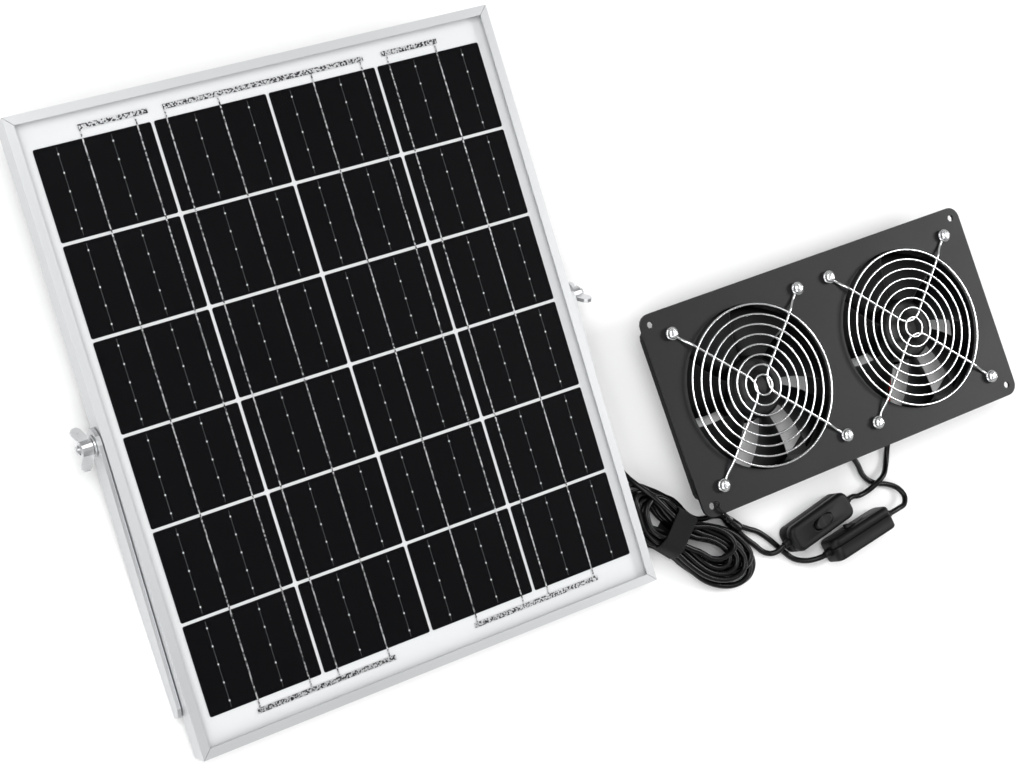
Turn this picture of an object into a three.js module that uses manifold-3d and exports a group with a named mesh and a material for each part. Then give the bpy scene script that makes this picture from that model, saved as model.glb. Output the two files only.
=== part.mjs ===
// Solar attic fan laid out flat: a framed solar panel with its fold-out bracket, a plate with two
// guarded axial fans, and the fans' leads with two inline switches and a tied hank of cable.
// Millimetres, +Z up. Everything rests on the plane z = 0.
import * as THREE from 'three';
import * as BufferGeometryUtils from 'three/addons/utils/BufferGeometryUtils.js';
import Module from 'manifold-3d';

const wasm = await Module();
wasm.setup();

const gap = 0.3;

// The layout is drawn from the panel's lower left corner; the origin is moved to the middle at the end.
const layoutCentre = { x: 313.067, y: 190.793 };

const panel = { width: 318, height: 383, depth: 17, wall: 1.6, lip: 5.6, tilt: 3, rest: 4 };
const laminate = { backsheet: 11.6, cells: 12.3, glass: 13.1, top: 15.4, inset: 2 };
const junctionBox = { x: 159, y: 296.5, length: 90, width: 62, corner: 4, wall: 2, back: -13.9, lid: 3.6 };
const gland = { x: 185, w: -7, nutRadius: 6.5, noseRadius: 4.6, length: 14 };
const pivot = { boltRadius: 2.5, hole: 2.9, headRadius: 3.9, height: 5.8, stickOut: 14 };
const arm = { thickness: 2.4, endRadius: 10, outside: 0.6 };
const foot = { front: -164.8, back: -144.8, thickness: 3 };
const wingNut = { radius: 5, length: 7.4, tip: 13, thickness: 2.4 };

const fanUnit = { x: 500.5, y: 96.2, turn: 1.07, pitch: 132.7 };
const plate = { width: 277, height: 140, thickness: 2, corner: 8, bottom: 25.4, hole: 56 };
const cornerHole = { x: 131, y: 62.5, radius: 2.5 };
const fan = { side: 120, depth: 25.1, flange: 4, bore: 57, duct: 59.6, screw: 52.5, screwHole: 2.2 };
const rotor = { hub: 21, tip: 55.6, blades: 7, top: 22.6, bottom: 7.6, chord: 44, sweep: 14 };
const guard = { rings: 8, outer: 54.5, ringPitch: 6.8, ringWire: 0.7, spokeWire: 0.9, ringHeight: 32 };
const guardLow = 28.6;
const leadAngle = { left: -30, right: -115 };

const inline = { length: 54, width: 19, thickness: 16, corner: 5, split: 9.7, wall: 1.6 };
const rocker = { length: 16.4, width: 8.4, play: 0.6, height: 13.2, tilt: 8 };
const rearSwitch = { x: 456.5, y: -7.1, turn: 12 };
const frontSwitch = { x: 484.5, y: -25, turn: 9 };

const cord = { diameter: 3.8, sides: 8 };
const hank = { x: 343, y: 33, turn: -46.9, bottom: 1.2, top: 19 };
const tie = { from: 3, to: 17.5, middle: -4.8, outer: 15.5, inner: 14.5, top: 20.6 };
// Outline of the coiled length, along and across the hank from its own origin.
const hankEdge = [
  [-30.6, 1.6], [-22.2, -7.6], [-12.7, -16.7], [-4.5, -20.8], [3, -19], [12.5, -18.8], [22, -19],
  [34, -20.8], [48, -21.4], [62, -18.9], [73, -12.4], [79.7, -1.2], [77.4, 10.6], [66.5, 16.6],
  [52, 18], [38, 15.8], [24, 9.6], [12.5, 9.2], [2, 9.3], [-6, 12.2], [-16, 13.1], [-27, 9.2]];
const splice = { from: [398, 8.4, 4.2], to: [390.5, 17.9, 4.2], radius: 4 };

// Routes of the free cords, from end to end of each stretch.
const leadLeftOut = [
  [486.6, 66, 12], [491, 63.5, 12], [497, 58.5, 11], [500.3, 51, 8.5], [501, 43, 4.8], [501.8, 35, 2.5],
  [504, 27.5, 2.1], [507.2, 19.5, 2.1], [508.6, 11, 2.1], [512, 5.5, 2.1], [518, 1.4, 2.1],
  [526, -1.8, 2.1], [532.8, -6.8, 2.8], [535, -13, 4.6], [531, -18.2, 7.2], [523, -19.4, 9.2],
  [511.7, -20.7, 9.6]];
const leadRightOut = [
  [540.6, 41.4, 12], [538.2, 36.5, 11.5], [536.4, 30, 7.5], [535.2, 23.5, 3.4], [532.4, 16, 2.1],
  [528.2, 10, 3.2], [522.5, 5.6, 5.8], [515.5, 2.4, 6.2], [507, -0.6, 4.6], [498.5, -1.4, 4.8],
  [491, -0.1, 7], [483.9, -1.3, 8]];
const leadLeftIn = [
  [457.3, -29.3, 9.6], [450.5, -30.2, 9.2], [441.5, -29.4, 5.4], [433.8, -25.4, 2.6], [427.5, -17.8, 2.1],
  [420.5, -7.5, 2.1], [413, 1, 2.1], [406.3, 5.2, 3], [400.3, 8.9, 4.2]];
const leadRightIn = [
  [429.4, -12.9, 8], [425.6, -13.9, 7.5], [422, -15.6, 6.2], [417.3, -16, 3.4], [412.4, -13, 2.1],
  [407.4, -6.4, 2.1], [402.4, -0.3, 2.5], [396.9, 6.5, 4.2]];
const trunkToHank = [
  [390.2, 18.3, 4.2], [387.4, 20.6, 3.7], [382.5, 22.2, 3], [376, 22.6, 2.6], [371, 24, 2.4],
  [366.6, 27.2, 2.3], [363.2, 31.8, 2.2], [360.8, 36.8, 2.2], [357.6, 41.6, 2.2], [352.6, 45.8, 2.2],
  [348, 50, 2.2]];
const trunkTail = [
  [328.6, 63.4, 10.5], [327.6, 68, 6.5], [326.8, 74, 3.2], [326.2, 82, 2.1], [326, 95, 2.1],
  [326, 110, 2.1],
  [326, 140, 2.1], [326, 170, 2.1], [326, 195, 2.1], [324.5, 210, 2.1], [318.5, 222, 2.1],
  [307, 230, 2.1], [288, 233, 2.1], [262, 230, 2.1], [236, 224, 2.1], [214, 221, 2.1],
  [198, 224.5, 2.6], [189, 232.5, 5], [185.6, 241.5, 8.2], [185, 250.4, 10.1]];

const finish = {
  anodised: new THREE.MeshStandardMaterial({ color: 0xcfd1d3, roughness: 0.45, metalness: 0.9 }),
  glass: new THREE.MeshStandardMaterial({ color: 0x20242a, roughness: 0.08, metalness: 0 }),
  cells: new THREE.MeshStandardMaterial({ color: 0x101114, roughness: 0.4, metalness: 0.1 }),
  backsheet: new THREE.MeshStandardMaterial({ color: 0xe4e4e2, roughness: 0.6, metalness: 0 }),
  blackPlastic: new THREE.MeshStandardMaterial({ color: 0x17181a, roughness: 0.45, metalness: 0 }),
  gloss: new THREE.MeshStandardMaterial({ color: 0x0d0e10, roughness: 0.22, metalness: 0 }),
  chrome: new THREE.MeshStandardMaterial({ color: 0xdadcde, roughness: 0.12, metalness: 1 }),
  steel: new THREE.MeshStandardMaterial({ color: 0xa9abad, roughness: 0.35, metalness: 1 }),
  powderCoat: new THREE.MeshStandardMaterial({ color: 0x3a3b3d, roughness: 0.6, metalness: 0.2 }),
  brass: new THREE.MeshStandardMaterial({ color: 0xb08d4a, roughness: 0.4, metalness: 1 }),
  copper: new THREE.MeshStandardMaterial({ color: 0x9a4a2a, roughness: 0.5, metalness: 0.8 }),
  cable: new THREE.MeshStandardMaterial({ color: 0x141416, roughness: 0.42, metalness: 0 }),
  fabric: new THREE.MeshStandardMaterial({ color: 0x1b1b1d, roughness: 0.95, metalness: 0 }),
  wire: new THREE.MeshStandardMaterial({ color: 0xa81c18, roughness: 0.45, metalness: 0 }),
};

// --- joining and cutting -------------------------------------------------------------------------

function toSolid(geometry) {
  const bare = geometry.clone();
  bare.deleteAttribute('normal');
  bare.deleteAttribute('uv');
  const merged = BufferGeometryUtils.mergeVertices(bare, 1e-4);
  const vertProperties = new Float32Array(merged.attributes.position.array);
  const triVerts = new Uint32Array(merged.index.array);
  return new wasm.Manifold(new wasm.Mesh({ numProp: 3, vertProperties, triVerts }));
}

function toGeometry(solid) {
  const mesh = solid.getMesh();
  const geometry = new THREE.BufferGeometry();
  geometry.setAttribute('position', new THREE.BufferAttribute(new Float32Array(mesh.vertProperties), 3));
  geometry.setIndex(new THREE.BufferAttribute(new Uint32Array(mesh.triVerts), 1));
  geometry.computeVertexNormals();
  return geometry;
}

function join(...pieces) {
  return toGeometry(pieces.map(toSolid).reduce((whole, piece) => whole.add(piece)));
}

function cut(body, ...tools) {
  return toGeometry(tools.map(toSolid).reduce((whole, tool) => whole.subtract(tool), toSolid(body)));
}

function common(first, second) {
  return toGeometry(toSolid(first).intersect(toSolid(second)));
}

// --- shapes --------------------------------------------------------------------------------------

const degrees = THREE.MathUtils.degToRad;
const vector = (point) => new THREE.Vector3(...point);

function polar(radius, angle) {
  return [radius * Math.cos(degrees(angle)), radius * Math.sin(degrees(angle))];
}

function circle(x, y, radius, sides, turn = 0) {
  return Array.from({ length: sides }, (_, i) => {
    const [dx, dy] = polar(radius, turn + (360 * i) / sides);
    return new THREE.Vector2(x + dx, y + dy);
  });
}

function roundedBox(width, height, radius, steps = 4) {
  const points = [];
  const corners = [[1, 1, 0], [-1, 1, 90], [-1, -1, 180], [1, -1, 270]];
  for (const [sx, sy, start] of corners) {
    for (let i = 0; i <= steps; i += 1) {
      const [dx, dy] = polar(radius, start + (90 * i) / steps);
      points.push(new THREE.Vector2(sx * (width / 2 - radius) + dx, sy * (height / 2 - radius) + dy));
    }
  }
  return points;
}

// A flat plate of any outline with holes, from z = bottom up.
function slab(outline, holes, bottom, thickness) {
  const shape = new THREE.Shape(outline);
  shape.holes = holes.map((hole) => new THREE.Path(hole));
  const geometry = new THREE.ExtrudeGeometry(shape, { depth: thickness, bevelEnabled: false });
  return geometry.translate(0, 0, bottom);
}

function block(x0, x1, y0, y1, z0, z1) {
  const geometry = new THREE.BoxGeometry(x1 - x0, y1 - y0, z1 - z0);
  return geometry.translate((x0 + x1) / 2, (y0 + y1) / 2, (z0 + z1) / 2);
}

// Turns a profile of [radius, height] points about +Z. The profile runs upwards on its outside.
function turned(profile, sides) {
  const geometry = new THREE.LatheGeometry(profile.map(([r, h]) => new THREE.Vector2(r, h)), sides);
  return geometry.rotateX(Math.PI / 2);
}

function ring(inner, outer, bottom, top, sides) {
  return slab(circle(0, 0, outer, sides), [circle(0, 0, inner, sides)], bottom, top - bottom);
}

function rod(points, radius, sides, steps) {
  const curve = new THREE.CatmullRomCurve3(points.map(vector), false, 'centripetal');
  const section = new THREE.Shape(circle(0, 0, radius, sides));
  return new THREE.ExtrudeGeometry(section, { steps, extrudePath: curve, bevelEnabled: false });
}

// --- scene helpers -------------------------------------------------------------------------------

const group = new THREE.Group();
const layout = new THREE.Group();
layout.position.set(-layoutCentre.x, -layoutCentre.y, 0);
group.add(layout);

function place(parent, name, geometry, material) {
  const mesh = new THREE.Mesh(geometry, material);
  mesh.name = name;
  parent.add(mesh);
  return mesh;
}

function nest(parent, x, y, z, turn = 0) {
  const inner = new THREE.Group();
  inner.position.set(x, y, z);
  inner.rotation.z = degrees(turn);
  parent.add(inner);
  return inner;
}

// --- panel ---------------------------------------------------------------------------------------

const panelGroup = nest(layout, 0, 0, panel.rest);
panelGroup.rotation.x = degrees(panel.tilt);

// Extruded frame rail with mitred ends: x along it, y inwards, z through the panel's depth.
const railProfile = [
  [0, 0], [14, 0], [14, 1.5], [panel.wall, 1.5], [panel.wall, 10.1], [10, 10.1], [10, 11.3],
  [panel.wall, 11.3], [panel.wall, 15.7], [panel.lip, 15.7], [panel.lip, panel.depth], [0, panel.depth]];

function mitredRail(length) {
  const count = railProfile.length;
  const position = [];
  for (const [u, w] of railProfile) {
    position.push(u + gap / 2, u, w);
  }
  for (const [u, w] of railProfile) {
    position.push(length - u - gap / 2, u, w);
  }
  const index = [];
  for (let i = 0; i < count; i += 1) {
    const next = (i + 1) % count;
    index.push(i, count + next, count + i, i, next, count + next);
  }
  const outline = railProfile.map(([u, w]) => new THREE.Vector2(u, w));
  for (const [a, b, c] of THREE.ShapeUtils.triangulateShape(outline, [])) {
    index.push(count + a, count + b, count + c, a, c, b);
  }
  const geometry = new THREE.BufferGeometry();
  geometry.setAttribute('position', new THREE.Float32BufferAttribute(position, 3));
  geometry.setIndex(index);
  return geometry;
}

function drilledRail(length) {
  const drill = turned([[0, -1], [pivot.hole, -1], [pivot.hole, 4], [0, 4]], 16);
  drill.rotateX(-Math.PI / 2).translate(length / 2, 0, pivot.height);
  return cut(mitredRail(length), drill);
}

function buildFrame() {
  const { width, height } = panel;
  place(nest(panelGroup, 0, 0, 0), 'frame_bottom', mitredRail(width), finish.anodised);
  place(nest(panelGroup, width, 0, 0, 90), 'frame_right', drilledRail(height), finish.anodised);
  place(nest(panelGroup, width, height, 0, 180), 'frame_top', mitredRail(width), finish.anodised);
  place(nest(panelGroup, 0, height, 0, -90), 'frame_left', drilledRail(height), finish.anodised);
}

function buildLaminate() {
  const { width, height } = panel;
  const sheet = (inset, bottom, top) => block(inset, width - inset, inset, height - inset, bottom, top);
  const { inset } = laminate;
  place(panelGroup, 'solar_glass', sheet(inset, laminate.glass, laminate.top), finish.glass);
  place(panelGroup, 'cell_layer', sheet(inset + 2, laminate.cells, laminate.glass - gap), finish.cells);
  place(panelGroup, 'backsheet', sheet(inset, laminate.backsheet, laminate.cells - gap), finish.backsheet);
}

function buildJunctionBox() {
  const box = nest(panelGroup, junctionBox.x, junctionBox.y, 0);
  const { length, width, corner, wall, back, lid } = junctionBox;
  const top = laminate.backsheet - gap;
  const outer = slab(roundedBox(length, width, corner), [], back, top - back);
  const inner = slab(roundedBox(length - 2 * wall, width - 2 * wall, corner - wall), [], back - 1,
    top - back + 1 - wall);
  const wireHole = turned([[0, -3], [2.6, -3], [2.6, 3], [0, 3]], 12);
  wireHole.rotateX(Math.PI / 2).translate(gland.x - junctionBox.x, -width / 2, gland.w);
  place(box, 'junction_box_base', cut(outer, inner, wireHole), finish.blackPlastic);
  const lidSlab = slab(roundedBox(length, width, corner), [], back - gap - lid, lid);
  place(box, 'junction_box_lid', lidSlab, finish.blackPlastic);
  const comb = [];
  const teeth = 4;
  for (let i = 0; i < teeth; i += 1) {
    const x = -21 + i * 11;
    comb.push(new THREE.Vector2(x, 0), new THREE.Vector2(x + 9, 0));
    comb.push(new THREE.Vector2(x + 9, 7), new THREE.Vector2(x + 11, 7));
  }
  comb.length -= 1;
  comb.push(new THREE.Vector2(21, 7), new THREE.Vector2(21, 12), new THREE.Vector2(-21, 12));
  place(box, 'terminal_block', slab(comb, [], 0, 9), finish.brass);
  const nose = [
    [0, 0], [gland.nutRadius, 0], [gland.nutRadius, 5], [gland.noseRadius + 0.4, 5.6],
    [gland.noseRadius, 12.6], [gland.noseRadius - 1, gland.length], [2.3, gland.length], [2.3, 11], [0, 11]];
  const glandBody = turned(nose, 12).rotateX(Math.PI / 2);
  glandBody.translate(gland.x - junctionBox.x, -width / 2 - gap, gland.w);
  place(box, 'cable_gland', glandBody, finish.blackPlastic);
}

// --- bracket and its pivots ----------------------------------------------------------------------

const pivotPlace = {
  y: (panel.height / 2) * Math.cos(degrees(panel.tilt)) - pivot.height * Math.sin(degrees(panel.tilt)),
  z: panel.rest + (panel.height / 2) * Math.sin(degrees(panel.tilt))
    + pivot.height * Math.cos(degrees(panel.tilt)),
};

// Side plate drawn as x = along the panel, y = up, with the pivot at 0, 0.
function armPlate() {
  const { endRadius } = arm;
  const floor = -pivotPlace.z;
  const outline = [new THREE.Vector2(foot.front, floor), new THREE.Vector2(-100, floor)];
  for (let i = 0; i <= 12; i += 1) {
    outline.push(new THREE.Vector2(...polar(endRadius, -97.4 + i * 16.2)));
  }
  outline.push(new THREE.Vector2(foot.front + 5, floor + 11.5));
  outline.push(new THREE.Vector2(foot.front, floor + 8));
  const hole = circle(0, 0, pivot.hole, 16);
  const geometry = slab(outline, [hole], 0, arm.thickness);
  const basis = new THREE.Matrix4();
  basis.makeBasis(vector([0, 1, 0]), vector([0, 0, 1]), vector([1, 0, 0]));
  return geometry.applyMatrix4(basis);
}

function buildBracket() {
  const bracket = nest(layout, 0, pivotPlace.y, pivotPlace.z);
  const leftArm = armPlate().translate(-arm.outside - arm.thickness, 0, 0);
  place(bracket, 'left_arm', leftArm, finish.anodised);
  const rightArm = armPlate().translate(panel.width + arm.outside, 0, 0);
  place(bracket, 'right_arm', rightArm, finish.anodised);
  const reach = panel.width / 2 + arm.outside - gap;
  const depth = foot.back - foot.front;
  const outline = roundedBox(2 * reach, depth, 0.5, 1);
  const holes = [-120, -40, 40, 120].map((x) => circle(x, 0, 2.6, 12));
  const bar = slab(outline, holes, 0, foot.thickness);
  bar.translate(panel.width / 2, (foot.front + foot.back) / 2, -pivotPlace.z);
  place(bracket, 'cross_bar', bar, finish.anodised);
}

function wingNutBody() {
  const { radius, length, tip, thickness } = wingNut;
  const profile = [[0, 0], [radius, 0], [radius - 0.4, length - 1], [radius - 1.2, length], [0, length]];
  const hub = turned(profile, 16);
  const ear = (side) => {
    const outline = [
      [radius - 2, 0.6], [radius + 1.5, 0.6], [tip - 1.5, 3.2], [tip, 5.2], [tip - 0.2, 8], [tip - 2, 9.4],
      [tip - 4.5, 9], [radius - 2, 5.4]].map(([x, y]) => new THREE.Vector2(x, y));
    const geometry = slab(outline, [], -thickness / 2, thickness).rotateX(Math.PI / 2);
    return side > 0 ? geometry : geometry.rotateZ(Math.PI);
  };
  const bore = turned([[0, -1], [pivot.hole, -1], [pivot.hole, 12], [0, 12]], 16);
  return cut(join(hub, ear(1), ear(-1)), bore);
}

// Bolt head inside the frame, then arm, washer and wing nut outside. The stack is built along +Z.
function buildPivot(side, name, nutTurn) {
  const x = side < 0 ? 0 : panel.width;
  const stack = nest(layout, x, pivotPlace.y, pivotPlace.z);
  stack.rotation.y = degrees(side * 90);
  const { boltRadius, headRadius, stickOut } = pivot;
  const inside = -panel.wall - gap;
  const bolt = turned([
    [0, inside - 3], [headRadius, inside - 3], [headRadius, inside], [boltRadius, inside],
    [boltRadius, stickOut - 0.6], [boltRadius - 0.6, stickOut], [0, stickOut]], 16);
  place(stack, `${name}_pivot_bolt`, bolt, finish.steel);
  const washerBottom = arm.outside + arm.thickness + gap;
  place(stack, `${name}_washer`, ring(pivot.hole, 6.5, washerBottom, washerBottom + 1, 20), finish.steel);
  const nut = place(stack, `${name}_wing_nut`, wingNutBody(), finish.steel);
  nut.position.z = washerBottom + 1 + gap;
  nut.rotation.z = degrees(nutTurn);
}

// --- fans on their plate -------------------------------------------------------------------------

const fanGroup = nest(layout, fanUnit.x, fanUnit.y, 0, fanUnit.turn);
const corners = [[-1, 1], [1, 1], [1, -1], [-1, -1]];
const sides = [['left', -fanUnit.pitch / 2], ['right', fanUnit.pitch / 2]];

function buildPlate() {
  const holes = corners.map(([sx, sy]) => circle(sx * cornerHole.x, sy * cornerHole.y, cornerHole.radius, 8));
  for (const [, x] of sides) {
    holes.push(circle(x, 0, plate.hole, 40));
    for (const [sx, sy] of corners) {
      holes.push(circle(x + sx * fan.screw, sy * fan.screw, fan.screwHole, 8));
    }
  }
  const outline = roundedBox(plate.width, plate.height, plate.corner, 5);
  place(fanGroup, 'mounting_plate', slab(outline, holes, plate.bottom, plate.thickness), finish.powderCoat);
}

function fanHousing(strutTurn) {
  const screwHoles = corners.map(([sx, sy]) => circle(sx * fan.screw, sy * fan.screw, fan.screwHole, 8));
  const outline = roundedBox(fan.side, fan.side, 6, 3);
  const flange = (bottom) => slab(outline, [circle(0, 0, fan.bore, 36), ...screwHoles], bottom, fan.flange);
  const duct = ring(fan.bore, fan.duct, 0, fan.depth, 36);
  const motorBase = turned([
    [0, 0.6], [23, 0.6], [23, 3], [4.6, 3], [4.6, 17], [2.8, 17], [2.8, 3.4], [0, 3.4]], 16);
  const struts = [0, 90, 180, 270].map((turn) => {
    const strut = block(22, fan.bore + 1, -3, 3, 0.6, 3);
    return strut.rotateZ(degrees(strutTurn + turn));
  });
  return join(flange(0), flange(fan.depth - fan.flange), duct, motorBase, ...struts);
}

// One twisted blade as a closed skin: s runs from root to tip, t from leading to trailing edge.
function bladeSkin() {
  const across = 2;
  const along = 4;
  const halfThickness = 0.7;
  const drop = rotor.top - rotor.bottom;
  const point = (s, t, side) => {
    const radius = rotor.hub - 0.8 + s * (rotor.tip - rotor.hub + 0.8);
    const angle = rotor.chord * t - rotor.sweep * s;
    const run = radius * degrees(rotor.chord);
    const size = Math.hypot(run, drop);
    const camber = 1.2 * Math.sin(Math.PI * t);
    const shift = (side * halfThickness * drop) / size / radius;
    const [x, y] = polar(radius, angle + THREE.MathUtils.radToDeg(shift));
    return [x, y, rotor.top - drop * t + camber + (side * halfThickness * run) / size - halfThickness];
  };
  const position = [];
  const quad = (a, b, c, d) => position.push(...a, ...b, ...c, ...a, ...c, ...d);
  for (let i = 0; i < across; i += 1) {
    for (let j = 0; j < along; j += 1) {
      const [s0, s1, t0, t1] = [i / across, (i + 1) / across, j / along, (j + 1) / along];
      quad(point(s0, t0, 1), point(s1, t0, 1), point(s1, t1, 1), point(s0, t1, 1));
      quad(point(s0, t1, -1), point(s1, t1, -1), point(s1, t0, -1), point(s0, t0, -1));
    }
  }
  for (let i = 0; i < across; i += 1) {
    const [s0, s1] = [i / across, (i + 1) / across];
    quad(point(s0, 0, -1), point(s1, 0, -1), point(s1, 0, 1), point(s0, 0, 1));
    quad(point(s0, 1, 1), point(s1, 1, 1), point(s1, 1, -1), point(s0, 1, -1));
  }
  for (let j = 0; j < along; j += 1) {
    const [t0, t1] = [j / along, (j + 1) / along];
    quad(point(0, t0, 1), point(0, t1, 1), point(0, t1, -1), point(0, t0, -1));
    quad(point(1, t0, -1), point(1, t1, -1), point(1, t1, 1), point(1, t0, 1));
  }
  const geometry = new THREE.BufferGeometry();
  geometry.setAttribute('position', new THREE.Float32BufferAttribute(position, 3));
  return geometry;
}

function rotorBody() {
  const { hub } = rotor;
  const cup = turned([
    [0, 5.2], [1.5, 5.2], [1.5, 21.8], [hub - 1.6, 21.8], [hub - 1.6, 6], [hub, 6], [hub, 21.4],
    [hub - 0.6, 22.8], [hub - 2.2, 23.6], [0, 23.6]], 24);
  const blades = Array.from({ length: rotor.blades }, (_, i) => {
    return bladeSkin().rotateZ(degrees((360 * i) / rotor.blades));
  });
  return join(cup, ...blades);
}

// Eight rings lie on two bent wires. Each wire joins two corner eyes by a bend near the middle.
function guardBody(turn) {
  const rings = Array.from({ length: guard.rings }, (_, i) => {
    const radius = guard.outer - i * guard.ringPitch;
    return new THREE.TorusGeometry(radius, guard.ringWire, 4, 24 - 2 * i).translate(0, 0, guard.ringHeight);
  });
  const high = guard.ringHeight - 0.8;
  const inward = [[70.8, guardLow], [66.5, guardLow], [62.5, guardLow + 0.8], [58.8, high - 0.2], [54, high],
    [36, high], [18, high], [11, high]];
  const side = (angle) => inward.map(([distance, z]) => [...polar(distance, angle), z]);
  const bend = [[5.6, 4, high], [5, 0, high], [5.6, -4, high]];
  const route = [...side(45), ...bend, ...side(-45).reverse()];
  const wires = [0, 180].map((half) => rod(route, guard.spokeWire, 4, 30).rotateZ(degrees(half)));
  const eyes = corners.map(([sx, sy]) => {
    const torus = new THREE.TorusGeometry(3.4, 0.9, 4, 8);
    return torus.translate(sx * fan.screw, sy * fan.screw, guardLow);
  });
  return join(...rings, ...wires, ...eyes).rotateZ(degrees(turn));
}

function guardScrew() {
  return turned([
    [0, 19], [1.8, 19], [1.8, 29.9], [4.4, 29.9], [4.4, 30.6], [3, 32.3], [0, 32.8]], 8);
}

// The motor's two wires, moulded side by side, lie on one strut.
function twinWire(angle) {
  const radius = 0.75;
  const lower = circle(0, -radius * 0.92, radius, 6, 0);
  const upper = circle(0, radius * 0.92, radius, 6, 0);
  const outline = [...lower.slice(3), lower[0], ...upper.slice(0, 4)];
  const geometry = slab(outline, [], 0, 36.6);
  const basis = new THREE.Matrix4();
  basis.makeBasis(vector([0, 0, 1]), vector([0, 1, 0]), vector([-1, 0, 0]));
  return geometry.applyMatrix4(basis).translate(56, 0, 4.2).rotateZ(degrees(angle));
}

function buildFans() {
  for (const [name, x] of sides) {
    const unit = nest(fanGroup, x, 0, 0);
    place(unit, `${name}_fan_frame`, fanHousing(leadAngle[name]), finish.gloss);
    place(unit, `${name}_rotor`, rotorBody(), finish.gloss);
    place(unit, `${name}_bearing`, ring(1.75, 2.4, 4, 16, 16), finish.brass);
    place(unit, `${name}_stator`, ring(5.2, 17.6, 5.4, 18, 24), finish.copper);
    place(unit, `${name}_guard`, guardBody(name === 'left' ? 0 : 90), finish.chrome);
    place(unit, `${name}_fan_wires`, twinWire(leadAngle[name]), finish.wire);
    corners.forEach(([sx, sy], i) => {
      const screw = place(unit, `${name}_guard_screw_${i + 1}`, guardScrew(), finish.chrome);
      screw.position.set(sx * fan.screw, sy * fan.screw, 0);
    });
  }
}

// --- inline switches -----------------------------------------------------------------------------

function switchShell(bottom, top, floor, opening) {
  const { length, width, corner, wall } = inline;
  const outer = slab(roundedBox(length, width, corner), [], bottom, top - bottom);
  const inside = roundedBox(length - 2 * wall, width - 2 * wall, corner - wall);
  const cavity = slab(inside, [], floor, inline.split + 20);
  if (!opening) {
    return cut(outer, cavity);
  }
  const ceiling = slab(inside, [], bottom - 1, top - bottom + 1 - wall);
  return cut(outer, ceiling, opening);
}

function rockerKey() {
  const oval = circle(0, 0, 1, 16).map(
    (p) => new THREE.Vector2((p.x * rocker.length) / 2, (p.y * rocker.width) / 2));
  const column = slab(oval, [], -4, 12);
  const profile = [[-12, -2.6], [12, -2.6], [12, 4.8], [0, 3.4], [-12, 4.8]];
  const wedge = slab(profile.map(([x, y]) => new THREE.Vector2(x, y)), [], -10, 20).rotateX(Math.PI / 2);
  return common(column, wedge);
}

function buildSwitch(name, holder) {
  const { thickness, split } = inline;
  const grown = circle(0, 0, 1, 16).map((p) => {
    const along = p.x * (rocker.length / 2 + rocker.play);
    return new THREE.Vector2(along, p.y * (rocker.width / 2 + rocker.play));
  });
  const opening = slab(grown, [], thickness - 4, 8);
  place(holder, `${name}_switch_base`, switchShell(0, split, inline.wall, null), finish.blackPlastic);
  place(holder, `${name}_switch_cover`, switchShell(split + gap, thickness, 0, opening), finish.blackPlastic);
  const key = place(holder, `${name}_switch_rocker`, rockerKey(), finish.blackPlastic);
  key.position.z = rocker.height;
  key.rotation.y = degrees(rocker.tilt);
}

function buildSwitches() {
  buildSwitch('rear', nest(layout, rearSwitch.x, rearSwitch.y, 0, rearSwitch.turn));
  const turnedFront = nest(layout, frontSwitch.x, frontSwitch.y, 0, frontSwitch.turn);
  const onSide = nest(turnedFront, 0, -inline.thickness / 2, inline.width / 2);
  onSide.rotation.set(degrees(-90), 0, 0);
  buildSwitch('front', onSide);
}

// --- cords ---------------------------------------------------------------------------------------

function buildCords() {
  const stretches = [
    ['lead_left_out', leadLeftOut], ['lead_right_out', leadRightOut], ['lead_left_in', leadLeftIn],
    ['lead_right_in', leadRightIn], ['trunk_to_hank', trunkToHank], ['trunk_tail', trunkTail]];
  for (const [name, route] of stretches) {
    const curve = new THREE.CatmullRomCurve3(route.map(vector), false, 'centripetal');
    const steps = Math.round(curve.getLength() / (2.8 * cord.diameter)) + 2;
    place(layout, name, rod(route, cord.diameter / 2, cord.sides, steps), finish.cable);
  }
  const start = vector(splice.from);
  const run = vector(splice.to).sub(start);
  const sleeve = turned([
    [0, 0], [splice.radius, 0], [splice.radius, run.length()], [0, run.length()]], 12);
  const lean = new THREE.Quaternion().setFromUnitVectors(vector([0, 0, 1]), run.clone().normalize());
  sleeve.applyQuaternion(lean);
  place(layout, 'splice_sleeve', sleeve.translate(start.x, start.y, start.z), finish.blackPlastic);
}

// The coiled length is one flattened oval, drawn in at its tie.
function buildHank() {
  const holder = nest(layout, hank.x, hank.y, 0, hank.turn);
  const curve = new THREE.CatmullRomCurve3(hankEdge.map(([u, v]) => vector([u, v, 0])), true, 'centripetal');
  const outline = curve.getPoints(66).slice(0, -1).map((p) => new THREE.Vector2(p.x, p.y));
  place(holder, 'cable_hank', slab(outline, [], hank.bottom, hank.top - hank.bottom), finish.cable);
  const boxPath = (reach, low, high) => [[-1, low], [1, low], [1, high], [-1, high]].map(
    ([side, z]) => new THREE.Vector2(tie.middle + side * reach, z));
  const hollow = boxPath(tie.inner, 0.9, tie.top - 1);
  const band = slab(boxPath(tie.outer, 0, tie.top), [hollow], 0, tie.to - tie.from);
  const basis = new THREE.Matrix4();
  basis.makeBasis(vector([0, 1, 0]), vector([0, 0, 1]), vector([1, 0, 0]));
  place(holder, 'hank_tie', band.applyMatrix4(basis).translate(tie.from, 0, 0), finish.fabric);
}

buildFrame();
buildLaminate();
buildJunctionBox();
buildBracket();
buildPivot(-1, 'left', 90);
buildPivot(1, 'right', 35);
buildPlate();
buildFans();
buildSwitches();
buildCords();
buildHank();

export default group;
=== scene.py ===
import math
import bpy
import numpy as np
from mathutils import Matrix, Vector


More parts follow.
